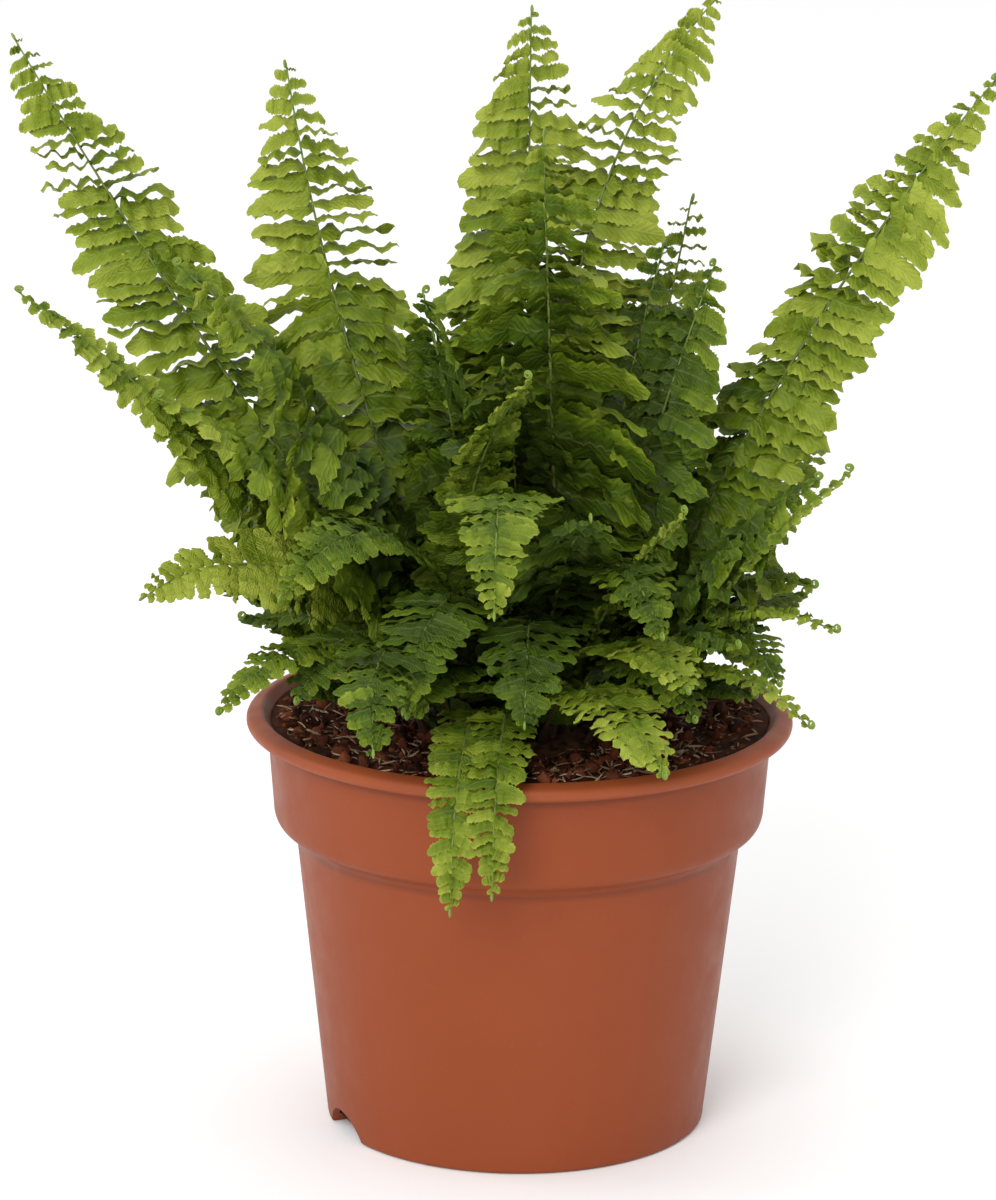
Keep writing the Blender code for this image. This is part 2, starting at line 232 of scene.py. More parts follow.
def pot_plastic():
    """Terracotta-coloured polypropylene: nearly even, with faint clouds, fine grain and dust, a painted
    highlight on the lip, and painted shade in the two creases under the lip and the band."""
    paint = Paint("terracotta_polypropylene")
    at = paint.place()
    cloud = paint.noise(at, 22, 4)
    colour = paint.ramp(cloud, (0.3, (0.228, 0.046, 0.012)), (0.7, (0.245, 0.051, 0.014)))
    speck = paint.spread(paint.noise(at, 900, 2), 0.62, 0.75)
    colour = paint.mix(paint.maths("MULTIPLY", speck, 0.12), colour, (0.29, 0.09, 0.045))
    height = paint.node("ShaderNodeSeparateXYZ")
    paint.feed(at, height.inputs[0])
    # Painted highlight: the lip and the mouth are made lighter from just under the lip upwards.
    lip_highlight = paint.spread(height.outputs["Z"], LIP_HIGHLIGHT_FROM, LIP_HIGHLIGHT_TO, 0, 0.4)
    colour = paint.mix(lip_highlight, colour, (0.32, 0.078, 0.026))
    # Painted shade: a dark line along each crease, under the lip's overhang and under the band's foot.
    for crease, reach in ((LIP_CREASE, 1.3 * MM), (BAND_CREASE, 1.5 * MM)):
        away = paint.maths("ABSOLUTE", paint.maths("SUBTRACT", height.outputs["Z"], crease))
        colour = paint.mix(paint.spread(away, 0, reach, 0.45, 0), colour, (0.11, 0.024, 0.009))
    paint.colour(colour)
    paint.rough(paint.spread(paint.noise(at, 140, 3), 0.3, 0.7, 0.4, 0.54))
    paint.bump(paint.noise(at, 1500, 2), 0.12, 0.0001)
    paint.shader.inputs["Specular IOR Level"].default_value = 0.2
    return paint.material


def leaf_green():
    """Living leaf: from dark green, where painted shade lowers the tint deep in the plant, to yellow-green
    at young tips, with a pale midrib, oblique side veins, mottling and some light through it."""
    paint = Paint("fern_leaf")
    at = paint.place()
    uv = paint.node("ShaderNodeSeparateXYZ")
    paint.feed(paint.uv("leaflet"), uv.inputs[0])
    along, across = uv.outputs["X"], uv.outputs["Y"]
    off_rib = paint.maths("ABSOLUTE", paint.maths("SUBTRACT", across, 0.5))
    tint = paint.attribute("tint")
    mottle = paint.noise(at, 260, 4, 0.6)
    # The tint holds each frond's own green and its painted shade, lower deep in the plant.
    tone = paint.maths("ADD", tint, paint.spread(mottle, 0.3, 0.7, -0.1, 0.1))
    # Darker by the midrib and at the base, lighter at the edges and the tip: partly the paler green of young
    # edges and tips, partly painted shade near the midrib and the base.
    tone = paint.maths("ADD", tone, paint.spread(off_rib, 0.2, 0.5, -0.07, 0.15))
    tone = paint.maths("ADD", tone, paint.spread(along, 0.1, 1.0, -0.13, 0.16))
    green = paint.ramp(
        tone,
        (0.0, (0.048, 0.082, 0.007)),
        (0.3, (0.08, 0.138, 0.005)),
        (0.6, (0.19, 0.262, 0.013)),
        (1.0, (0.4, 0.46, 0.055)),
    )
    slant = paint.maths("ADD", paint.maths("MULTIPLY", along, 11), paint.maths("MULTIPLY", off_rib, -4.5))
    wave = paint.maths("ABSOLUTE", paint.maths("SINE", paint.maths("MULTIPLY", slant, math.pi)))
    vein = paint.spread(wave, 0.0, 0.3, 1, 0)
    rib = paint.spread(off_rib, 0.015, 0.06, 1, 0)
    green = paint.mix(paint.maths("MULTIPLY", vein, 0.07), green, (0.21, 0.3, 0.05))
    green = paint.mix(paint.maths("MULTIPLY", rib, 0.22), green, (0.3, 0.36, 0.1))
    paint.colour(green)
    paint.rough(paint.spread(mottle, 0.3, 0.7, 0.42, 0.62))
    puffed = paint.maths("SUBTRACT", wave, paint.maths("MULTIPLY", rib, 1.2))
    height = paint.maths("ADD", puffed, paint.maths("MULTIPLY", paint.noise(at, 1400, 2), 0.5))
    paint.shader.inputs["Specular IOR Level"].default_value = 0.25
    normal = paint.bump(height, 0.45, 0.00028)
    through = paint.node("ShaderNodeBsdfTranslucent")
    paint.feed(paint.mix(0.5, green, (0.3, 0.45, 0.03)), through.inputs["Color"])
    paint.feed(normal, through.inputs["Normal"])
    both = paint.node("ShaderNodeMixShader")
    both.inputs["Fac"].default_value = 0.3
    paint.feed(paint.shader.outputs[0], both.inputs[1])
    paint.feed(through.outputs[0], both.inputs[2])
    paint.feed(both.outputs[0], paint.output.inputs["Surface"])
    return paint.material


def stalk_green():
    """The stalk: brown and scaly at its foot, then straw green."""
    paint = Paint("fern_stalk", 0.55)
    at = paint.place()
    share = paint.attribute("share")
    fleck = paint.noise(at, 700, 4, 0.65)
    place = paint.maths("ADD", share, paint.spread(fleck, 0.3, 0.7, -0.06, 0.06))
    paint.colour(
        paint.ramp(
            place,
            (0.02, (0.05, 0.026, 0.012)),
            (0.2, (0.1, 0.085, 0.022)),
            (0.5, (0.1, 0.13, 0.022)),
            (0.93, (0.14, 0.2, 0.03)),
            (1.0, (0.15, 0.23, 0.018)),
        )
    )
    paint.bump(fleck, 0.5, 0.0002)
    return paint.material


def peat(name, dark, light):
    """Moist peat: near-black brown with redder crumbs, each with its own tone."""
    paint = Paint(name, 0.9)
    at = paint.place()
    tone = paint.attribute("tint")
    fine = paint.noise(at, 900, 5, 0.7)
    share = paint.maths("ADD", tone, paint.spread(fine, 0.3, 0.7, -0.25, 0.25), clamp=True)
    paint.colour(paint.mix(share, dark, light))
    paint.rough(paint.spread(fine, 0.3, 0.7, 0.72, 0.95))
    paint.bump(fine, 0.9, 0.0006)
    paint.shader.inputs["Specular IOR Level"].default_value = 0.12
    return paint.material


def straw():
    """Dry fibres, from dark brown to pale straw, each with its own tone."""
    paint = Paint("straw_fibre", 0.7)
    tone = paint.attribute("tint")
    stops = ((0.0, (0.06, 0.025, 0.012)), (0.5, (0.22, 0.12, 0.06)), (1.0, (0.5, 0.36, 0.22)))
    paint.colour(paint.ramp(tone, *stops))
    paint.bump(paint.noise(paint.place(), 1800, 2), 0.5, 0.0001)
    return paint.material


# ---------------------------------------------------------------- pot

POT_HEIGHT = 93.2 * MM
LIP_RADIUS = 60.0 * MM
BAND_TOP_RADIUS = 55.3 * MM
BAND_BOTTOM_RADIUS = 53.9 * MM
BAND_BOTTOM = 70.8 * MM
SHOULDER_RADIUS = 49.0 * MM
SHOULDER_BOTTOM = 65.0 * MM
BASE_RADIUS = 41.9 * MM
WALL = 1.6 * MM
FLOOR = 2.0 * MM
LIP_ROUND = 1.5 * MM
FOOT_ROUND = 0.8 * MM
INNER_RISE = 0.8 * MM  # the inner corners, above the outer ones
# The lip's painted highlight fades in between these two heights.
LIP_HIGHLIGHT_FROM = 88.9 * MM
LIP_HIGHLIGHT_TO = 89.5 * MM
# Heights of the painted shade lines in the creases under the lip and the band.
LIP_CREASE = 88.2 * MM
BAND_CREASE = 65.3 * MM
DRAIN_WIDTH = 16.8 * MM
DRAIN_HEIGHT = 5.5 * MM
DRAIN_DEPTH = 7.0 * MM
DRAIN_HEADINGS = (205, 25)
POT_STEPS = 256


def arc(centre, radius, start, end, count):
    """Points (r, z) on a circle's arc, from the angle start to end in degrees."""
    angles = np.radians(np.linspace(start, end, count))
    return np.stack([centre[0] + radius * np.cos(angles), centre[1] + radius * np.sin(angles)], 1)


def bend(a, corner, b, count):
    """A rounded corner: the quadratic curve from a to b that leans on the corner point."""
    t = np.linspace(0, 1, count)[:, None]
    return (1 - t) ** 2 * np.array(a) + 2 * t * (1 - t) * np.array(corner) + t**2 * np.array(b)


def straight(a, b, count):
    """Evenly spaced points from a to b, both left out."""
    t = np.linspace(0, 1, count + 2)[1:-1, None]
    return np.array(a) + (np.array(b) - np.array(a)) * t


def pot_profile():
    """The pot's section from the floor's centre, up the inside, over the lip and down the outside."""
    inner_base = (BASE_RADIUS - WALL, FLOOR)
    inner_shoulder = (SHOULDER_RADIUS - WALL, SHOULDER_BOTTOM + INNER_RISE)
    inner_band = (BAND_BOTTOM_RADIUS - WALL, BAND_BOTTOM + INNER_RISE)
    inner_top = (BAND_TOP_RADIUS - WALL, POT_HEIGHT - 5.0 * MM)
    mouth = (BAND_TOP_RADIUS + 0.5 * MM, POT_HEIGHT - 0.9 * MM)
    crest = (BAND_TOP_RADIUS + 1.8 * MM, POT_HEIGHT)
    lip = (LIP_RADIUS - LIP_ROUND, POT_HEIGHT - 2.15 * MM)
    under_lip = (BAND_TOP_RADIUS, POT_HEIGHT - 4.9 * MM)
    band_low = (BAND_BOTTOM_RADIUS, BAND_BOTTOM)
    band_foot = (BAND_BOTTOM_RADIUS - 1.3 * MM, BAND_BOTTOM - 2.6 * MM)
    shoulder_in = (SHOULDER_RADIUS + 1.2 * MM, SHOULDER_BOTTOM + 1.8 * MM)
    shoulder_low = (SHOULDER_RADIUS - 0.2 * MM, SHOULDER_BOTTOM - 1.6 * MM)
    foot = (BASE_RADIUS - FOOT_ROUND, FOOT_ROUND)
    parts = [
        [(0, FLOOR)],
        straight((0, FLOOR), inner_base, 6),
        [inner_base, inner_shoulder, inner_band, inner_top],
        bend(inner_top, (BAND_TOP_RADIUS - 1.2 * MM, POT_HEIGHT - 2 * MM), mouth, 5)[1:],
        bend(mouth, (BAND_TOP_RADIUS + 0.9 * MM, POT_HEIGHT), crest, 5)[1:],
        arc(lip, LIP_ROUND, 80, -75, 10),
        bend(
            (LIP_RADIUS - 1.1 * MM, POT_HEIGHT - 3.75 * MM),
            (BAND_TOP_RADIUS + 0.1 * MM, POT_HEIGHT - 3.6 * MM),
            under_lip,
            8,
        ),
        straight(under_lip, band_low, 6),
        bend(band_low, (BAND_BOTTOM_RADIUS - 0.3 * MM, BAND_BOTTOM - 1.8 * MM), band_foot, 6),
        straight(band_foot, shoulder_in, 3),
        bend(shoulder_in, (SHOULDER_RADIUS + 0.1 * MM, SHOULDER_BOTTOM + 0.4 * MM), shoulder_low, 6),
        straight(shoulder_low, (BASE_RADIUS, FOOT_ROUND), 16),
        arc(foot, FOOT_ROUND, 0, -90, 5),
        straight((foot[0], 0), (0, 0), 5),
        [(0, 0)],
    ]
    return np.concatenate([np.asarray(p, float).reshape(-1, 2) for p in parts])


def revolve(profile, steps):
    """A profile of (r, z) turned about Z. Its first and last points are on the axis and become poles."""
    turn = np.linspace(0, 2 * math.pi, steps, endpoint=False)
    radius, height = profile[1:-1, 0][:, None], profile[1:-1, 1][:, None]
    x = radius * np.cos(turn)
    y = radius * np.sin(turn)
    rings = np.stack([x, y, height + 0 * x], -1).reshape(-1, 3)
    points = np.concatenate([rings, [[0, 0, profile[0, 1]], [0, 0, profile[-1, 1]]]])
    return points, shell_faces(len(profile) - 2, steps)


def arch_block(heading):
    """A block with a round top that points outwards: the space of one drain opening."""
    radius = (DRAIN_WIDTH**2 / 4 + DRAIN_HEIGHT**2) / (2 * DRAIN_HEIGHT)
    half = math.asin(DRAIN_WIDTH / 2 / radius) * 1.1
    angles = np.linspace(-half, half, 25)
    side = radius * np.sin(angles)
    top = DRAIN_HEIGHT - radius + radius * np.cos(angles)
    low = np.full_like(top, -3 * MM)
    section = np.concatenate([np.stack([side, top], 1), np.stack([side, low], 1)[::-1]])
    count = len(section)
    turn = math.radians(heading)
    out = np.array([math.cos(turn), math.sin(turn), 0])
    beside = np.array([-math.sin(turn), math.cos(turn), 0])
    ends = []
    for reach in (BASE_RADIUS - DRAIN_DEPTH, BASE_RADIUS + DRAIN_DEPTH):
        ends.append(out * reach + beside * section[:, :1] + UP * section[:, 1:])
    faces = grid_faces(2, count) + [tuple(range(count)), tuple(range(2 * count - 1, count - 1, -1))]
    mesh = bpy.data.meshes.new("drain_space")
    mesh.from_pydata(np.concatenate(ends).tolist(), [], faces)
    block = bpy.data.objects.new("drain_space", mesh)
    bpy.context.scene.collection.objects.link(block)
    return block


def make_pot():
    """The pot: a finely turned shell, with its drain openings cut through the bottom corner."""
    points, faces = revolve(pot_profile(), POT_STEPS)
    pot = new_piece("pot_shell", points, faces, [pot_plastic()], "pot_plastic", "pot")
    blocks = [arch_block(heading) for heading in DRAIN_HEADINGS]
    for block in blocks:
        cut = pot.modifiers.new("drain", "BOOLEAN")
        cut.operation = "DIFFERENCE"
        cut.object = block
    bpy.context.view_layer.update()
    done = bpy.data.meshes.new_from_object(pot.evaluated_get(bpy.context.evaluated_depsgraph_get()))
    pot.modifiers.clear()
    pot.data = done
    done.shade_smooth()
    done.set_sharp_from_angle(angle=math.radians(38))
    for block in blocks:
        bpy.data.objects.remove(block)


# ---------------------------------------------------------------- soil

SOIL_EDGE = 91.2 * MM
SOIL_SEAT = 88.5 * MM
SOIL_SEAT_RADIUS = 25.0 * MM
SOIL_RADIUS = 54.7 * MM
SOIL_CALM = 48 * MM  # from here to the edge the lumps get lower
SOIL_RINGS = 150
SOIL_STEPS = 300
GAP = 0.3 * MM  # between the soil and the pot, and between the soil's seat and the crown
LIP_DROP = 4.6 * MM  # the soil's topmost side ring, below the pot's top
CRUMBS = 1500
CRUMBS_FROM = 12 * MM
FIBRES = 1200
FIBRES_FROM = 15 * MM
FIBRE_LIMIT = 53.6 * MM  # no fibre reaches past this radius
LITTER_TO = 53 * MM  # crumbs and fibres are centred within this radius
CROWN_RADIUS = 24.0 * MM
CROWN_HEIGHT = 5.2 * MM
CROWN_KNOB = 0.5 * MM
CROWN_SKIRT = 1.5 * MM  # how far the crown reaches into the soil
CROWN_RINGS = 60
CROWN_STEPS = 120


def soil_surface(x, y):
    """The soil's height: a low mound, lumps from cellular noise at three sizes, and sine swells."""
    radius = np.hypot(x, y)
    base = SOIL_SEAT + (SOIL_EDGE - SOIL_SEAT) * smooth(radius, SOIL_SEAT_RADIUS * 0.6, SOIL_RADIUS)
    at = np.stack([x, y], 1)
    coarse, tone = cells(at, 6.5 * MM, 1)
    middle, more = cells(at, 3.1 * MM, 2)
    fine, _ = cells(at, 1.3 * MM, 3)
    lumps = 1.6 * MM * (0.6 - coarse) * tone + 0.9 * MM * (0.6 - middle) * more + 0.35 * MM * (0.6 - fine)
    lumps *= 1 - 0.7 * smooth(radius, SOIL_CALM, SOIL_RADIUS)
    swell = 0.6 * MM * np.sin(x / (7 * MM) + 1) * np.cos(y / (8 * MM))
    return base + lumps + swell, np.clip(0.25 * tone + 0.35 * more + 0.25 * (0.8 - middle), 0, 1)


def make_soil():
    """The soil: a disc of fine rings with lumps on top, and plain sides down to the pot's floor."""
    turn = np.linspace(0, 2 * math.pi, SOIL_STEPS, endpoint=False)
    radius = SOIL_RADIUS * np.linspace(0, 1, SOIL_RINGS + 1)[1:] ** 0.8
    x = (radius[:, None] * np.cos(turn)).ravel()
    y = (radius[:, None] * np.sin(turn)).ravel()
    z, tone = soil_surface(x, y)
    top = np.stack([x, y, z], 1)
    levels = (
        (BAND_TOP_RADIUS, POT_HEIGHT - LIP_DROP),
        (BAND_BOTTOM_RADIUS, BAND_BOTTOM + INNER_RISE),
        (SHOULDER_RADIUS, SHOULDER_BOTTOM + 1.2 * MM),
        (BASE_RADIUS, FLOOR + GAP),
    )
    sides = []
    for wall, height in levels:
        out = wall - WALL - GAP
        sides.append(np.stack([out * np.cos(turn), out * np.sin(turn), np.full(SOIL_STEPS, height)], 1))
    points = np.concatenate([top, *sides, [[0, 0, SOIL_SEAT], [0, 0, FLOOR + GAP]]])
    faces = shell_faces(SOIL_RINGS + len(levels), SOIL_STEPS)
    moist = peat("peat", (0.009, 0.003, 0.0015), (0.12, 0.032, 0.011))
    soil = new_piece("soil_bed", points, faces, [moist], "potting_soil", "soil")
    point_values(soil, "tint", np.concatenate([tone, np.zeros(len(points) - len(tone))]))


def scattered(count, low, high, seed):
    """Places (x, y) spread evenly over a ring of the soil, and the generator for what follows."""
    chance = np.random.default_rng(seed)
    radius = np.sqrt(chance.uniform(low**2, high**2, count))
    turn = chance.uniform(0, 2 * math.pi, count)
    return radius * np.cos(turn), radius * np.sin(turn), chance


def make_crumbs():
    """Loose crumbs of peat: each a small ball of 6 by 4 points, pushed out and in by its own noise."""
    x, y, chance = scattered(CRUMBS, CRUMBS_FROM, LITTER_TO, 11)
    z, _ = soil_surface(x, y)
    size = np.clip(chance.gamma(2.4, 0.28, CRUMBS) * MM, 0.3 * MM, 1.7 * MM)
    around, levels = 6, 4
    turn = np.linspace(0, 2 * math.pi, around, endpoint=False)
    rise = np.radians([50, 15, -20, -55])
    flat, up = np.cos(rise)[:, None], np.sin(rise)[:, None]
    ball = np.stack([flat * np.cos(turn), flat * np.sin(turn), up + 0 * turn], -1).reshape(-1, 3)
    ball = np.concatenate([ball, [[0, 0, 1], [0, 0, -1]]])
    rough = chance.uniform(0.55, 1.45, (CRUMBS, len(ball), 1))
    stretch = chance.uniform(0.65, 1.35, (CRUMBS, 1, 3))
    points = ball[None] * rough * stretch * size[:, None, None]
    points += np.stack([x, y, z + size * 0.25], 1)[:, None, :]
    faces = copied_faces(shell_faces(levels, around), len(ball), CRUMBS)
    dry = peat("peat_crumb", (0.014, 0.004, 0.002), (0.22, 0.058, 0.023))
    crumbs = new_piece("soil_crumbs", points.reshape(-1, 3), faces, [dry], "potting_soil")
    point_values(crumbs, "tint", np.repeat(chance.beta(1.5, 2.5, CRUMBS), len(ball)))


def make_fibres():
    """Straw and root fibres on the soil: thin three-sided rods along shallow bent lines. Their rings
    turn clockwise about the rod, so their faces point inwards."""
    count, stations = FIBRES, 5
    x, y, chance = scattered(count, FIBRES_FROM, LITTER_TO, 12)
    turn = chance.uniform(0, 2 * math.pi, count)
    length = np.clip(chance.gamma(2.2, 1.3, count), 1.0, 8) * MM
    curl = chance.normal(0, 0.6, count)
    t = np.linspace(-0.5, 0.5, stations)
    heading = turn[:, None] + curl[:, None] * t
    px = x[:, None] + length[:, None] * t * np.cos(heading)
    py = y[:, None] + length[:, None] * t * np.sin(heading)
    inside = np.minimum(1, FIBRE_LIMIT / np.maximum(np.hypot(px, py), 1e-6))
    px, py = px * inside, py * inside
    rise = (0.3 + chance.uniform(0, 0.7, count))[:, None] * MM
    slope = chance.normal(0, 0.35, count)[:, None] * MM
    lift = rise + slope * t * 2
    ground, _ = soil_surface(px.ravel(), py.ravel())
    ground = ground.reshape(px.shape)
    level = ground.max(1, keepdims=True) * 0.6 + ground * 0.4
    course = np.stack([px, py, level + lift], -1)
    along = unit(np.gradient(course, axis=1))
    side = unit(np.cross(along, UP))
    over = np.cross(side, along)
    width = chance.uniform(0.09, 0.3, count)[:, None, None] * MM
    taper = (1 - (2 * t) ** 4 * 0.7)[None, :, None]
    corner = np.radians([90, 210, 330])
    rings = [course + (side * math.cos(a) + over * math.sin(a)) * width * taper for a in corner]
    points = np.stack(rings, 2).reshape(-1, 3)
    per = stations * 3
    one = grid_faces(stations, 3) + [(2, 1, 0), (per - 3, per - 2, per - 1)]
    fibres = new_piece("soil_fibres", points, copied_faces(one, per, count), [straw()], "potting_soil")
    point_values(fibres, "tint", np.repeat(chance.beta(1.5, 1.2, count), per))


def crown_height(x, y):
    """The crown's upper surface, as in the frame: a low dome with knobs."""
    share = np.minimum(1, np.hypot(x, y) / CROWN_RADIUS)
    knobs = CROWN_KNOB * np.sin(x / (1.9 * MM)) * np.cos(y / (2.2 * MM)) * (1 - share)
    return SOIL_SEAT + GAP + CROWN_HEIGHT * np.sqrt(1 - share**2) + knobs


def make_crown():
    """The crown: a dome of fine rings, roughened by cellular noise like packed old scales."""
    turn = np.linspace(0, 2 * math.pi, CROWN_STEPS, endpoint=False)
    angle = np.linspace(0, math.pi / 2, CROWN_RINGS + 1)[1:]
    radius = CROWN_RADIUS * np.sin(angle)
    x = (radius[:, None] * np.cos(turn)).ravel()
    y = (radius[:, None] * np.sin(turn)).ravel()
    scale, tone = cells(np.stack([x, y], 1), 1.6 * MM, 7)
    z = crown_height(x, y) + 0.9 * MM * (0.5 - scale) * smooth(-np.hypot(x, y), -CROWN_RADIUS, -20 * MM)
    bottom = SOIL_SEAT - CROWN_SKIRT
    foot_x, foot_y = CROWN_RADIUS * np.cos(turn), CROWN_RADIUS * np.sin(turn)
    foot = np.stack([foot_x, foot_y, np.full(CROWN_STEPS, bottom)], 1)
    poles = [[0, 0, SOIL_SEAT + CROWN_HEIGHT], [0, 0, bottom]]
    points = np.concatenate([np.stack([x, y, z], 1), foot, poles])
    faces = shell_faces(CROWN_RINGS + 1, CROWN_STEPS)
    scales = peat("crown_scales", (0.02, 0.010, 0.005), (0.12, 0.06, 0.03))
    crown = new_piece("crown_stock", points, faces, [scales], "crown_fibre", "crown")
    point_values(crown, "tint", np.concatenate([tone, np.zeros(len(points) - len(tone))]))


# ---------------------------------------------------------------- fronds

# One row a frond, as in the frame: where it leaves the crown (mm), its course, the longest leaflet
# (mm), the blade's roll and the bare share of the stalk. Then tint, from dark 0 to bright 1, which
# is partly the frond's own green and partly painted shade, lower for fronds deep in the plant, and
# form: "full" leaflets are long and toothed, "broad" ones are wide and far apart, "dense" ones are
# short and close together, and "young" ones are small and round.
Frond = namedtuple("Frond", "name x y heading lean droop bend sweep length reach roll bare tint form")
FRONDS = (
    Frond("tall_left", -15, 4, 166, 37, -5, 1.6, 0, 174, 18.5, 65, 0.12, 0.5, "full"),
    Frond("tall_right", 18, 2, -7, 25, 13, 1.6, -11, 167, 18, -60, 0.14, 0.58, "full"),
    Frond("centre_front", 9, -4, 253, 8, 0, 1.6, 0, 132, 23, 0, 0.1, 0.42, "full"),
    Frond("centre_back", 2, 12, 98, 7, -10, 1.6, 0, 151, 22, 0, 0.1, 0.62, "full"),
    Frond("upright_left", -11, 9, 150, 26, -14, 1.6, -10, 145, 21, 60, 0.12, 0.66, "full"),
    Frond("upright_right", 9, 8, 45, -8, 66, 1.6, 0, 167, 17, -45, 0.12, 0.74, "full"),
    Frond("low_left", -20, -3, 197, 36, 18, 1.6, 17, 141, 10.5, 50, 0.12, 0.5, "full"),
    Frond("hanging_left", -7, -19, 262, 34, 154, 0.9, 0, 75, 7.5, 0, 0.08, 0.62, "dense"),
    Frond("hanging_right", -1, -21, 265, 30, 154, 0.9, 0, 72, 7, 0, 0.08, 0.58, "dense"),
    Frond("arching_front", -1, -13, 262, 5, 143, 1.5, 8, 123, 12.5, 0, 0.12, 0.38, "dense"),
    Frond("mid_left", -14, -2, 190, 18, 35, 1.6, 0, 120, 20, 20, 0.12, 0.34, "broad"),
    Frond("mid_right", 14, -3, -10, 12, 8, 1.6, 15, 104, 18, -40, 0.12, 0.34, "full"),
    Frond("bright_left", -21, -9, 216, 24, 98, 1.6, -8, 90, 10.5, 50, 0.15, 0.8, "dense"),
    Frond("drooping_left", -17, -15, 221, 30, 110, 1.4, 0, 74, 10, 0, 0.15, 0.42, "dense"),
    Frond("rim_left", -13, -19, 228, 20, 130, 1.25, 48, 82, 12, 0, 0.1, 0.2, "dense"),
    Frond("rim_front", 5, -20, 282, 40, 92, 1.2, 20, 74, 12, 0, 0.1, 0.6, "dense"),
    Frond("rim_right", 15, -17, 313, 38, 92, 1.4, 8, 72, 9, 0, 0.15, 0.62, "young"),
    Frond("rim_mid_right", 10, -16, 298, 26, 100, 1.4, 0, 66, 13, 0, 0.1, 0.56, "dense"),
    Frond("low_right", 21, -12, 315, 29, 79, 1.6, 9, 75, 9, 0, 0.15, 0.55, "young"),
    Frond("side_right", 23, -4, 359, 15, 90, 1.5, -20, 60, 13, 0, 0.15, 0.45, "full"),
    Frond("young_right", 19, -7, 318, 40, 8, 1.6, 14, 90, 8, -30, 0.15, 0.55, "young"),
    Frond("young_front", -10, -11, 236, 12, 30, 1.6, 90, 92, 10, 0, 0.15, 0.6, "dense"),
    Frond("small_right", 12, 15, 52, 24, 0, 1.6, 10, 114, 13, -40, 0.15, 0.56, "full"),
    Frond("broad_left", -17, -7, 205, 26, 38, 1.6, 0, 104, 22, 15, 0.14, 0.46, "broad"),
    Frond("inner_left", -8, -4, 225, 6, 14, 1.6, 0, 98, 20, 10, 0.12, 0.26, "full"),
    Frond("inner_right", 13, 4, 12, 6, 10, 1.6, 0, 104, 19, -60, 0.12, 0.3, "full"),
    Frond("shade_left", -21, -6, 212, 34, 52, 1.6, 0, 64, 17, 0, 0.14, 0.36, "full"),
    Frond("shade_front", 4, -12, 282, 22, 50, 1.6, 0, 78, 16, 0, 0.12, 0.2, "full"),
    Frond("shade_right", 17, -10, 342, 28, 30, 1.6, 0, 78, 17, -20, 0.14, 0.28, "full"),
    Frond("low_front", 12, -8, 308, 42, 55, 1.6, 0, 64, 16, 0, 0.14, 0.24, "full"),
    Frond("low_mid_left", -9, -14, 246, 44, 60, 1.6, 0, 44, 13, 0, 0.12, 0.22, "dense"),
    Frond("low_mid_front", 0, -16, 272, 44, 55, 1.6, 0, 44, 13, 0, 0.12, 0.34, "dense"),
    Frond("back_right", 21, 7, 46, 38, 40, 1.6, 0, 84, 17, 0, 0.14, 0.42, "full"),
    Frond("back_right_low", 17, 12, 58, 48, 45, 1.6, 0, 90, 16, 0, 0.15, 0.5, "full"),
    Frond("back_mid_right", 8, 17, 76, 36, 44, 1.6, 0, 118, 18, 0, 0.14, 0.44, "full"),
    Frond("back_mid_left", -2, 19, 96, 46, 46, 1.6, 0, 118, 18, 0, 0.14, 0.5, "full"),
    Frond("back_left", -9, 16, 112, 34, 42, 1.6, 0, 116, 18, 0, 0.14, 0.44, "full"),
    Frond("back_left_low", -16, 13, 128, 46, 48, 1.6, 0, 92, 16, 0, 0.15, 0.5, "full"),
    Frond("back_side_left", -21, 7, 148, 38, 46, 1.6, 0, 70, 16, 0, 0.14, 0.42, "full"),
    Frond("back_inner", -5, 7, 100, 6, 24, 1.6, 0, 104, 19, 0, 0.12, 0.36, "full"),
    Frond("apron_left", -14, -11, 222, 18, 132, 1.35, 12, 66, 12, 0, 0.1, 0.18, "dense"),
    Frond("apron_mid_left", -5, -8, 250, 10, 156, 1.35, 0, 82, 14, 0, 0.1, 0.22, "dense"),
    Frond("apron_middle", 3, -8, 268, 14, 146, 1.3, 0, 76, 14, 0, 0.1, 0.2, "dense"),
    Frond("apron_mid_right", 9, -11.5, 304, 20, 134, 1.35, 4, 62, 14, 0, 0.1, 0.24, "dense"),
    Frond("apron_right", 19.5, -1, 322, 20, 122, 1.35, -14, 66, 13, 0, 0.1, 0.3, "dense"),
    Frond("side_low_left", -22.5, 0, 186, 40, 50, 1.5, 0, 46, 13, 0, 0.12, 0.34, "dense"),
    Frond("side_low_right", 22, 2, 6, 38, 48, 1.5, 0, 50, 14, 0, 0.12, 0.36, "dense"),
    Frond("foot_left", -18, -12, 208, 46, 60, 1.4, 0, 36, 11, 0, 0.1, 0.26, "dense"),
    Frond("foot_right", 20, -9.5, 332, 46, 60, 1.4, 0, 38, 11, 0, 0.1, 0.34, "dense"),
    Frond("young_mid", 7, -17.5, 308, 26, 26, 1.5, 4, 72, 6, 0, 0.12, 0.6, "young"),
    Frond("inner_front", 0, -4, 262, 4, 44, 1.6, 0, 92, 18, 0, 0.12, 0.2, "full"),
    Frond("tuft_left", -12.5, -6.5, 240, 8, 134, 1.6, -14, 92, 12, 20, 0.12, 0.38, "dense"),
    Frond("tuft_right", 8.2, -7.7, 286, 10, 136, 1.6, 10, 84, 13, 0, 0.12, 0.3, "dense"),
    Frond("tuft_side", 15.5, -7.5, 330, 12, 118, 1.6, 0, 56, 12, 0, 0.12, 0.34, "dense"),
    Frond("tuft_low", -4.5, -16.5, 238, 24, 118, 1.4, 6, 50, 12, 0, 0.1, 0.26, "dense"),
)

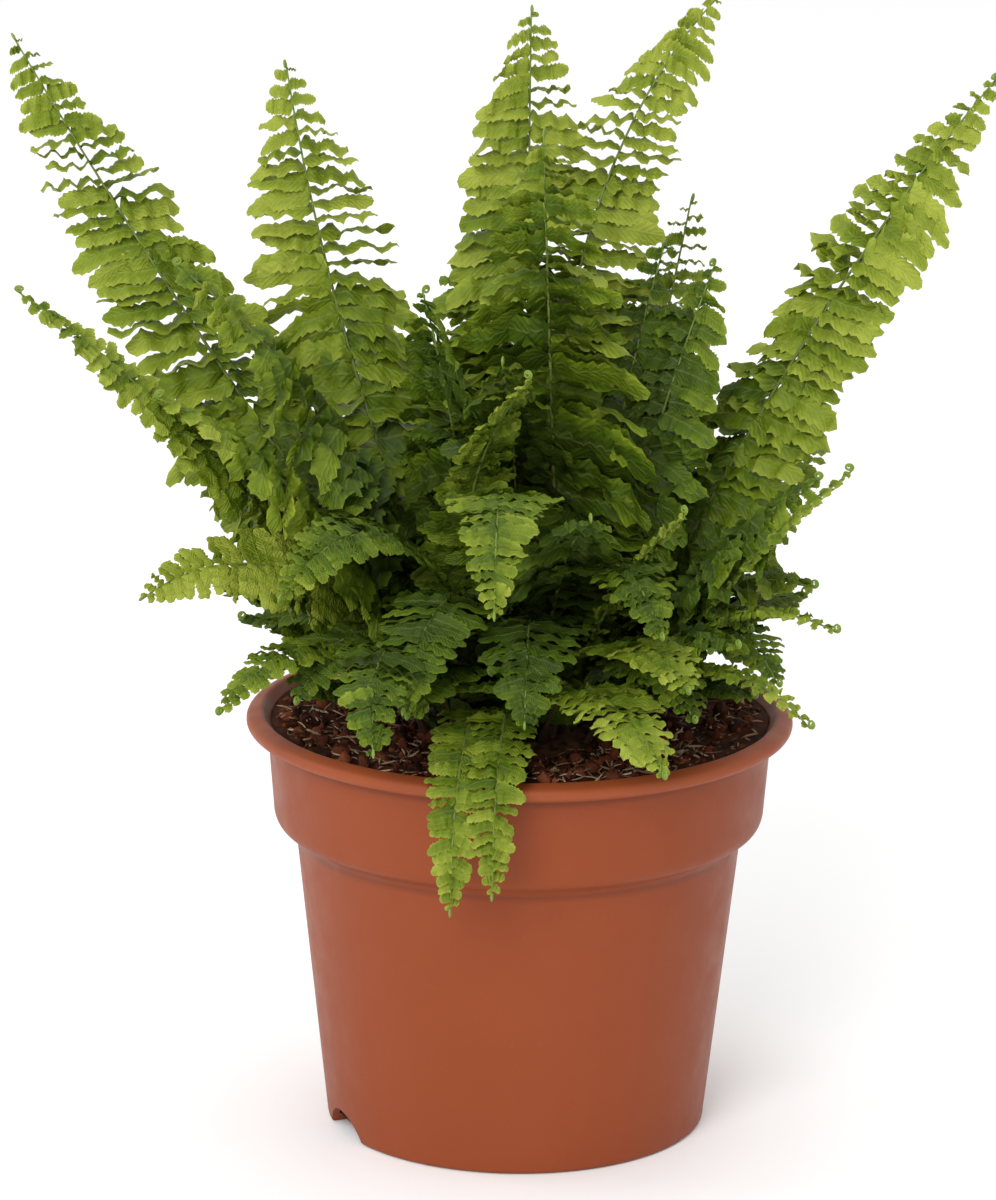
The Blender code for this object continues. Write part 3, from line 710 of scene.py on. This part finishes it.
FINE = 481  # points on a frond's course
LEAFLET_THICKNESS = 0.22 * MM
STALK_LIFT = 0.8 * MM  # where a course starts, above the crown
STALK_RADIUS = 0.85 * MM
STALK_RINGS = 60
STALK_SIDES = 7
CURL_RADIUS = 1.0 * MM
ROW_SHIFTS = (0.15, 0.62)  # each side's first leaflet, in spacings, so that the two sides alternate

# How the leaflets of each kind of frond are set: the distance between neighbours on one side (mm),
# the half width at no length (mm) and what each millimetre of length adds to it, the widest half
# width as a share of the length, where the tip starts to close, the sag, the turn towards level,
# the share of its rise that a leaflet's line loses, the turns along a leaflet and between leaflets,
# the ruffle, the crimp of single teeth and the number of teeth.
Form = namedtuple(
    "Form", "spacing half_start half_gain half_most blunt sag level even twist swing ruffle crimp teeth"
)
FORMS = {
    "full": Form(3.3, 1.1, 0.14, 0.46, 0.74, 0.45, 0.54, 0.8, 0.5, 0.3, 0.26, 0.12, 10),
    "broad": Form(4.6, 1.4, 0.14, 0.44, 0.7, 0.5, 0.3, 0.6, 0.5, 0.42, 0.28, 0.12, 11),
    "dense": Form(2.3, 1.2, 0.1, 0.5, 0.72, 0.14, 0.12, 0, 0.16, 0.08, 0.2, 0.1, 8),
    "young": Form(3.2, 0.9, 0.2, 0.52, 0.5, 0.1, 0.3, 0.3, 0.4, 0.1, 0.3, 0.16, 4),
}


def course_of(frond):
    """The frond's course as in the frame, finely sampled: points, directions, the blade's sideways
    direction and the direction that its upper face looks in. The lean at the share t is
    lean + droop t^bend, the heading is heading + sweep t, and the points are the summed directions."""
    t = np.linspace(0, 1, FINE)
    lean = np.radians(frond.lean + frond.droop * t**frond.bend)[:, None]
    heading = np.radians(frond.heading + frond.sweep * t)
    outward = np.stack([np.cos(heading), np.sin(heading), np.zeros(FINE)], 1)
    along = np.sin(lean) * outward + np.cos(lean) * UP
    steps = (along[1:] + along[:-1]) / 2 * frond.length * MM / (FINE - 1)
    x, y = frond.x * MM, frond.y * MM
    base = np.array([x, y, float(crown_height(x, y)) + STALK_LIFT])
    points = base + np.vstack([np.zeros(3), np.cumsum(steps, 0)])
    side = np.cross(outward, UP)
    face = np.sin(lean) * UP - np.cos(lean) * outward
    roll = math.radians(frond.roll)
    across = math.cos(roll) * side + math.sin(roll) * face
    return points, along, across, np.cross(across, along)


def reach_at(frond, share):
    """A leaflet's length at a share of the stalk: it grows fast, then tapers to the tip."""
    blade = np.clip((share - frond.bare) / (1 - frond.bare), 0, 1)
    grown = np.minimum(1, 0.5 + 1.8 * blade)
    return frond.reach * MM * grown * (1 - blade**3.2) ** 0.85 + 0.9 * MM


def crozier(point, along, face):
    """A rolled-up tip: a spiral towards the upper face whose radius falls to a third in a turn and a
    half. Returns its points and, at each, the direction towards its centre."""
    turn = np.linspace(0, 3 * math.pi, 22)[1:, None]
    inward = np.cos(turn) * face - np.sin(turn) * along
    return point + (face - inward * (1 - 0.66 * turn / turn[-1])) * CURL_RADIUS, inward


def stalk_mesh(points, along, across, face):
    """A round tube along the course, thick at its foot and thin at the tip, which ends in a crozier.
    Two poles close it. Its rings turn clockwise about the course, so its faces point inwards."""
    pick = np.linspace(0, FINE - 1, STALK_RINGS).astype(int)
    curl, inward = crozier(points[-1], along[-1], face[-1])
    share = np.concatenate([pick / (FINE - 1), np.ones(len(curl))])
    line = np.concatenate([points[pick], curl])
    side = np.concatenate([across[pick], np.repeat(across[-1:], len(curl), 0)])
    over = np.concatenate([face[pick], inward])
    turn = np.linspace(0, 2 * math.pi, STALK_SIDES, endpoint=False)
    radius = STALK_RADIUS * (0.22 + 0.55 * (1 - share) ** 1.2 + 0.35 * np.exp(-share * 25))
    radius[len(pick) :] = np.linspace(0.22, 0.42, len(curl)) * STALK_RADIUS
    ring = np.cos(turn)[None, :, None] * side[:, None] + np.sin(turn)[None, :, None] * over[:, None]
    tube = line[:, None] + ring * radius[:, None, None]
    foot = points[0] - along[0] * 1.6 * MM
    tube[0] = foot + ring[0] * radius[0] * 1.3
    ends = np.stack([foot - along[0] * 0.3 * MM, 2 * line[-1] - line[-2]])
    mesh = np.concatenate([tube.reshape(-1, 3), ends])
    faces = grid_faces(len(line), STALK_SIDES)
    last = (len(line) - 1) * STALK_SIDES
    count = len(mesh)
    faces += [(count - 2, (i + 1) % STALK_SIDES, i) for i in range(STALK_SIDES)]
    faces += [(count - 1, last + i, last + (i + 1) % STALK_SIDES) for i in range(STALK_SIDES)]
    return mesh, faces, np.concatenate([np.repeat(share, STALK_SIDES), [0, 1]])


def leaflet_stations(teeth):
    """Shares along a leaflet: a notch, then a tooth's point set forward, again and again."""
    notches = np.linspace(0, 1, teeth + 1)
    peaks = notches[:-1] + 0.66 / teeth
    stations = np.sort(np.concatenate([notches[:-1], peaks]))
    is_peak = np.arange(len(stations)) % 2 == 1
    return stations, is_peak


def leaflet_faces(stations):
    """Faces of one closed leaflet. A station has its lower edge, the top's middle and its upper edge,
    with a plain underside between the edges; single triangles close the base and meet at the tip."""
    tip = stations * 3
    last = tip - 3
    closing = [(last + i, last + (i + 1) % 3, tip) for i in range(3)]
    return grid_faces(stations, 3) + closing + [(2, 1, 0)]


def leaflet_axes(frond, share, side, outer, tangent, upper, chance):
    """Directions for each leaflet, and its swing, the sum of two sines along the frond. Its axis runs
    outwards, raked towards the frond's tip, and loses part of its rise where the frond is erect. Its
    flat side looks partly as the blade's upper side does and partly up, or down where the blade is
    upside down. The third direction is across both."""
    form = FORMS[frond.form]
    total = len(share)
    rake = np.radians(6 + 14 * share**3 + chance.normal(0, 6, total))[:, None]
    erect = smooth(tangent[:, 2], 0.1, 0.85)
    axis = outer * np.cos(rake) + tangent * np.sin(rake)
    axis = unit(axis - UP * (form.even * erect * axis[:, 2])[:, None])
    level = unit(UP - axis * (axis @ UP)[:, None])
    upper_side = smooth(outer[:, 2], -0.5, 0.6) - 0.5
    turned = (form.level + 0.25 * upper_side) * erect
    share_level = np.clip(0.1 + turned + chance.normal(0, 0.13, total), 0, 0.92)
    wander = chance.uniform(0, 2 * math.pi, (2, 2))[(side > 0).astype(int)]
    swing = np.sin(share * frond.length / 7 + wander[:, 0]) + np.sin(share * frond.length / 17 + wander[:, 1])
    toward = share_level[:, None] * np.sign((upper * level).sum(1) + 0.3)[:, None]
    flat = upper * (1 - np.abs(toward)) + level * toward
    flat = unit(flat - axis * (flat * axis).sum(1)[:, None])
    beside = unit(np.cross(flat, axis))
    beside *= np.sign((beside * tangent).sum(1) + 1e-9)[:, None]
    return axis, flat, beside, swing


def leaflet_edges(form, length, stations, is_peak, chance):
    """The half width and the lift of each leaflet's two edges at its stations. The half width is an
    oblong outline, with an ear near the base of one edge, times a tooth. The lift is a sine ruffle
    and a random crimp of each tooth."""
    total = len(length)
    s = stations[None, :]
    half = np.minimum(form.half_start * MM + form.half_gain * length, form.half_most * length)
    half = (half * chance.uniform(0.88, 1.12, total))[:, None]
    outline = (0.35 + 0.65 * smooth(s, 0.0, 0.1)) * (1 - 0.2 * s) * (1 - smooth(s, form.blunt, 1.12) ** 1.5)
    ear = 0.3 * np.exp(-(((s - 0.12) / 0.08) ** 2))
    tooth = np.where(is_peak, 1.0, 0.82) * chance.uniform(0.92, 1.06, (total, len(stations)))
    low_edge = half * outline * tooth
    high_edge = half * (outline + ear) * tooth
    phase = chance.uniform(0, 2 * math.pi, (2, total, 1))
    waves = chance.uniform(1.6, 3.2, (total, 1))
    ruffle = form.ruffle * chance.uniform(0.5, 1.3, (total, 1)) * half
    crimp = form.crimp * half * outline * np.where(is_peak, 1.0, 0.3)
    crimp = crimp * chance.normal(0, 1, (2, total, len(stations)))
    low_lift = ruffle * np.sin(2 * math.pi * waves * s + phase[0]) + crimp[0]
    high_lift = ruffle * np.sin(2 * math.pi * waves * s + phase[1]) + crimp[1]
    return low_edge, high_edge, low_lift, high_lift


def leaflets_mesh(frond, points, along, across, face, chance):
    """All leaflets of a frond at once. A leaflet runs out from the stalk along its own curved line,
    which sags by the square of the share. Its edges lie on both sides of that line, turned about it,
    and its middle stands above them by a low arch."""
    form = FORMS[frond.form]
    blade = frond.length * MM * (1 - frond.bare)
    count = int(blade / (form.spacing * MM))
    order = np.arange(count)
    starts = [frond.bare + (1 - frond.bare) * (order + shift) / count for shift in ROW_SHIFTS]
    share = np.concatenate(starts)
    side = np.repeat([-1.0, 1.0], count)
    total = len(share)
    pick = np.clip(np.round(share * (FINE - 1)).astype(int), 0, FINE - 1)
    length = reach_at(frond, share) * chance.uniform(0.84, 1.1, total)
    if frond.form == "young":
        length = length * 0.5 + 1 * MM
    root, tangent, upper = points[pick], along[pick], face[pick]
    outer = across[pick] * side[:, None]
    axis, flat, beside, swing = leaflet_axes(frond, share, side, outer, tangent, upper, chance)
    stations, is_peak = leaflet_stations(form.teeth)
    s = stations[None, :]
    turned = form.swing * swing + chance.normal(0.12, 0.18 + 0.3 * form.twist, total)
    twisted = chance.normal(0, form.twist, total)
    spin = (turned[:, None] + twisted[:, None] * s)[..., None]
    normal = flat[:, None] * np.cos(spin) - beside[:, None] * np.sin(spin)
    width_way = beside[:, None] * np.cos(spin) + flat[:, None] * np.sin(spin)
    low_edge, high_edge, low_lift, high_lift = leaflet_edges(form, length, stations, is_peak, chance)
    sag = (np.clip(0.5 + 0.3 * swing + chance.normal(0, 0.2, total), 0, 1.3) * form.sag * length)[:, None]
    curve = (chance.normal(0.05, 0.08, total) * length)[:, None]
    middle = (
        root[:, None]
        + axis[:, None] * (length[:, None] * s)[..., None]
        - UP * (sag * s**2)[..., None]
        + beside[:, None] * (curve * s**2)[..., None]
    )
    arch = ((low_lift + high_lift) / 2 + 0.16 * (low_edge + high_edge) / 2 + LEAFLET_THICKNESS)[..., None]
    low = middle - width_way * low_edge[..., None] + normal * low_lift[..., None]
    high = middle + width_way * high_edge[..., None] + normal * high_lift[..., None]
    ring = np.stack([low, middle + normal * arch, high], 2)
    tip_at = (root + axis * length[:, None] - UP * sag + beside * curve)[:, None]
    per = len(stations) * 3 + 1
    mesh = np.concatenate([ring.reshape(total, -1, 3), tip_at], 1)
    # A leaflet with mirrored directions has its faces reversed, so all leaflets face alike: inwards.
    one = leaflet_faces(len(stations))
    reversed_one = [corners[::-1] for corners in one]
    mirrored = (np.cross(beside, axis) * flat).sum(1) > 0
    faces = []
    for k in range(total):
        faces += [[k * per + i for i in corners] for corners in (reversed_one if mirrored[k] else one)]
    u = np.concatenate([np.repeat(stations, 3), [1.0]])
    v = np.concatenate([np.tile([0.0, 0.5, 1.0], len(stations)), [0.5]])
    uv = np.tile(np.stack([u, v], 1), (total, 1))
    # Painted shade: a leaflet whose tip lies near the plant's middle, where the foliage shades it, gets a
    # darker tint, and one far out a lighter one. Towards a frond's tip the tint rises too, partly the younger
    # green and partly painted light from above.
    tips = tip_at[:, 0]
    out_of_shade = smooth(np.linalg.norm((tips - (0, 0, 115 * MM)) / (1, 1, 1.25), axis=1), 25 * MM, 95 * MM)
    shade = frond.tint + 0.2 * (share - 0.5) + 0.36 * (out_of_shade - 0.6) + chance.normal(0, 0.11, total)
    return mesh.reshape(-1, 3), faces, uv, np.repeat(shade, per), np.repeat(share, per)


def make_frond(frond, number, leaf, stalk):
    """One frond: its stalk and all its leaflets in one mesh."""
    chance = np.random.default_rng(100 + number)
    course = course_of(frond)
    tube, tube_faces, tube_share = stalk_mesh(*course)
    blades, blade_faces, uv, shade, share = leaflets_mesh(frond, *course, chance)
    start = len(tube)
    faces = tube_faces + [[start + i for i in face] for face in blade_faces]
    points = np.concatenate([tube, blades])
    piece = new_piece("leafy_" + frond.name, points, faces, [stalk, leaf], "fern_leaf", "frond_" + frond.name)
    slots = np.concatenate([np.zeros(len(tube_faces), int), np.ones(len(blade_faces), int)])
    piece.data.polygons.foreach_set("material_index", slots)
    point_values(piece, "tint", np.concatenate([np.zeros(start), shade]))
    point_values(piece, "share", np.concatenate([tube_share, share]))
    point_uv(piece, "leaflet", np.concatenate([np.zeros((start, 2)), uv]))
    piece.data.set_sharp_from_angle(angle=math.radians(70))


def make_fronds():
    """All fronds, which share one leaf and one stalk material."""
    leaf = leaf_green()
    stalk = stalk_green()
    for number, frond in enumerate(FRONDS):
        make_frond(frond, number, leaf, stalk)


# ---------------------------------------------------------------- stage

STAGE_DROP = 0.2 * MM
WORLD_STRENGTH = 0.88


def make_floor():
    """A wide pale floor, a hair below the pot's foot: one square."""
    mesh = bpy.data.meshes.new("studio_floor")
    corners = [(x, y, -STAGE_DROP) for x, y in ((-7, -3), (7, -3), (7, 11), (-7, 11))]
    mesh.from_pydata(corners, [], [(0, 1, 2, 3)])
    floor = bpy.data.objects.new("studio_floor", mesh)
    bpy.context.scene.collection.objects.link(floor)
    paint = Paint("studio_floor", 0.9)
    tone = paint.noise(paint.place(), 3, 2)
    paint.colour(paint.ramp(tone, (0.3, (0.93, 0.93, 0.93)), (0.7, (0.95, 0.95, 0.95))))
    paint.shader.inputs["Specular IOR Level"].default_value = 0.1
    floor.data.materials.append(paint.material)


def area_light(name, place, target, size, power):
    """A white disc light of a diameter in metres and a power in watts, turned to its target."""
    data = bpy.data.lights.new(name, "AREA")
    data.shape = "DISK"
    data.size = size
    data.energy = power
    light = bpy.data.objects.new(name, data)
    light.location = place
    light.rotation_euler = (Vector(target) - Vector(place)).to_track_quat("-Z", "Y").to_euler()
    bpy.context.scene.collection.objects.link(light)


def make_lights():
    """Even white surroundings, a soft key from the front and left, and weaker side and top lights."""
    world = bpy.data.worlds.new("studio_air")
    world.use_nodes = True
    background = world.node_tree.nodes["Background"]
    background.inputs["Color"].default_value = (1, 1, 1, 1)
    background.inputs["Strength"].default_value = WORLD_STRENGTH
    bpy.context.scene.world = world
    area_light("key", (-0.65, -1.95, 1.35), (0, 0, 0.13), 1.3, 35)
    area_light("side", (-1.5, 0.3, 0.9), (0, 0, 0.15), 0.9, 4)
    area_light("top", (0.1, 0.6, 1.7), (0, 0, 0.15), 1.0, 5)


CAMERA_PLACE = Vector((0, -1.2298, 0.4496))
CAMERA_LENS = 174.8
CAMERA_ROLL = 0.58  # degrees
CAMERA_AIM = Vector((-0.005, 0, 0.1177))


def make_camera():
    """A long lens from the front, above level, aimed at the plant's middle and rolled a little."""
    data = bpy.data.cameras.new("camera")
    data.lens = CAMERA_LENS
    data.sensor_width = 36
    data.clip_start = 0.05
    data.clip_end = 60
    camera = bpy.data.objects.new("camera", data)
    bpy.context.scene.collection.objects.link(camera)
    turn = (CAMERA_AIM - CAMERA_PLACE).to_track_quat("-Z", "Y").to_matrix()
    turn = turn @ Matrix.Rotation(math.radians(CAMERA_ROLL), 3, "Z")
    camera.matrix_world = Matrix.Translation(CAMERA_PLACE) @ turn.to_4x4()
    bpy.context.scene.camera = camera


make_pot()
make_soil()
make_crumbs()
make_fibres()
make_crown()
make_fronds()
make_floor()
make_lights()
make_camera()
bpy.context.scene.view_settings.view_transform = "Standard"
